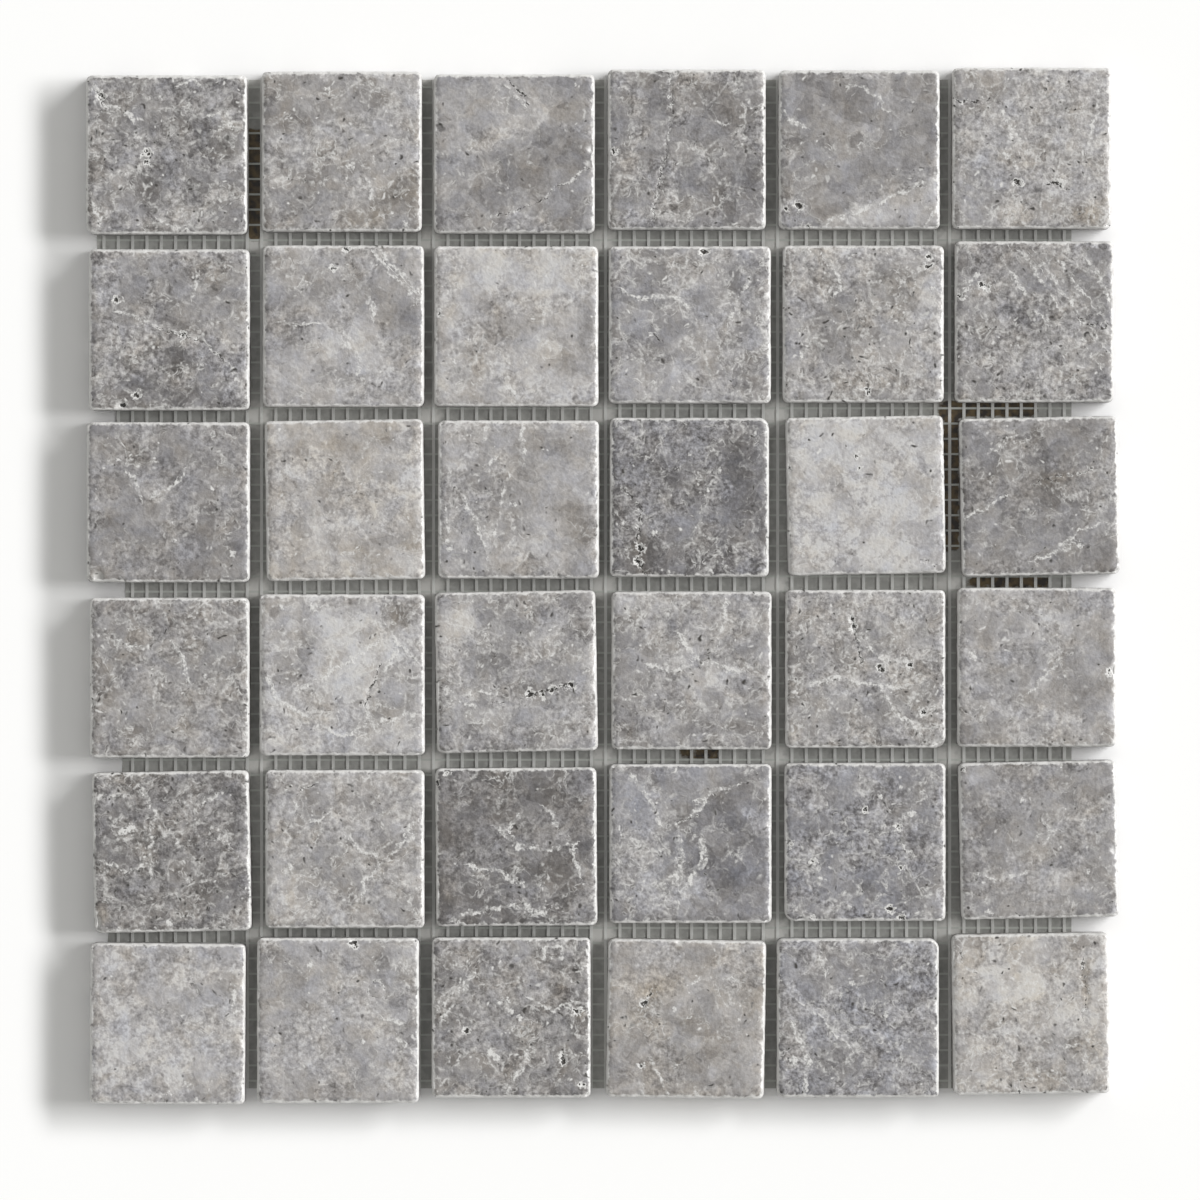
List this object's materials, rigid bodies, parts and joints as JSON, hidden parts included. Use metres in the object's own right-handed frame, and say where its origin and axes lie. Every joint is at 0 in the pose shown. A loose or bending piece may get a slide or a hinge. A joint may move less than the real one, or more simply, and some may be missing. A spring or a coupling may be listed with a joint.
{
  "type": "mosaic tile sheet",
  "caption": "Square sheet of tumbled grey marble mosaic tiles with open joints, held on a backing net of glass-fibre yarn.",
  "frame": {"origin": "middle of the sheet, in the plane of the net's underside", "axes": "+Z out of the tiles' faces, +X along the rows, +Y across the rows; the sheet lies face up"},
  "size_m": [0.3035, 0.3045, 0.0104],
  "materials": {
    "stone": "matte",
    "net": "matte"
  },
  "bodies": {
    "root": {"tile_r1_c1": "stone", "tile_r1_c2": "stone", "tile_r1_c3": "stone", "tile_r1_c4": "stone", "tile_r1_c5": "stone", "tile_r1_c6": "stone", "tile_r2_c1": "stone", "tile_r2_c2": "stone", "tile_r2_c3": "stone", "tile_r2_c4": "stone", "tile_r2_c5": "stone", "tile_r2_c6": "stone", "tile_r3_c1": "stone", "tile_r3_c2": "stone", "tile_r3_c3": "stone", "tile_r3_c4": "stone", "tile_r3_c5": "stone", "tile_r3_c6": "stone", "tile_r4_c1": "stone", "tile_r4_c2": "stone", "tile_r4_c3": "stone", "tile_r4_c4": "stone", "tile_r4_c5": "stone", "tile_r4_c6": "stone", "tile_r5_c1": "stone", "tile_r5_c2": "stone", "tile_r5_c3": "stone", "tile_r5_c4": "stone", "tile_r5_c5": "stone", "tile_r5_c6": "stone", "tile_r6_c1": "stone", "tile_r6_c2": "stone", "tile_r6_c3": "stone", "tile_r6_c4": "stone", "tile_r6_c5": "stone", "tile_r6_c6": "stone", "net_1_1": "net", "net_1_2": "net", "net_1_3": "net", "net_2_1": "net", "net_2_2": "net", "net_2_3": "net", "net_3_1": "net", "net_3_2": "net", "net_3_3": "net", "net_4_1": "net", "net_4_2": "net", "net_4_3": "net"}
  },
  "joints": []
}
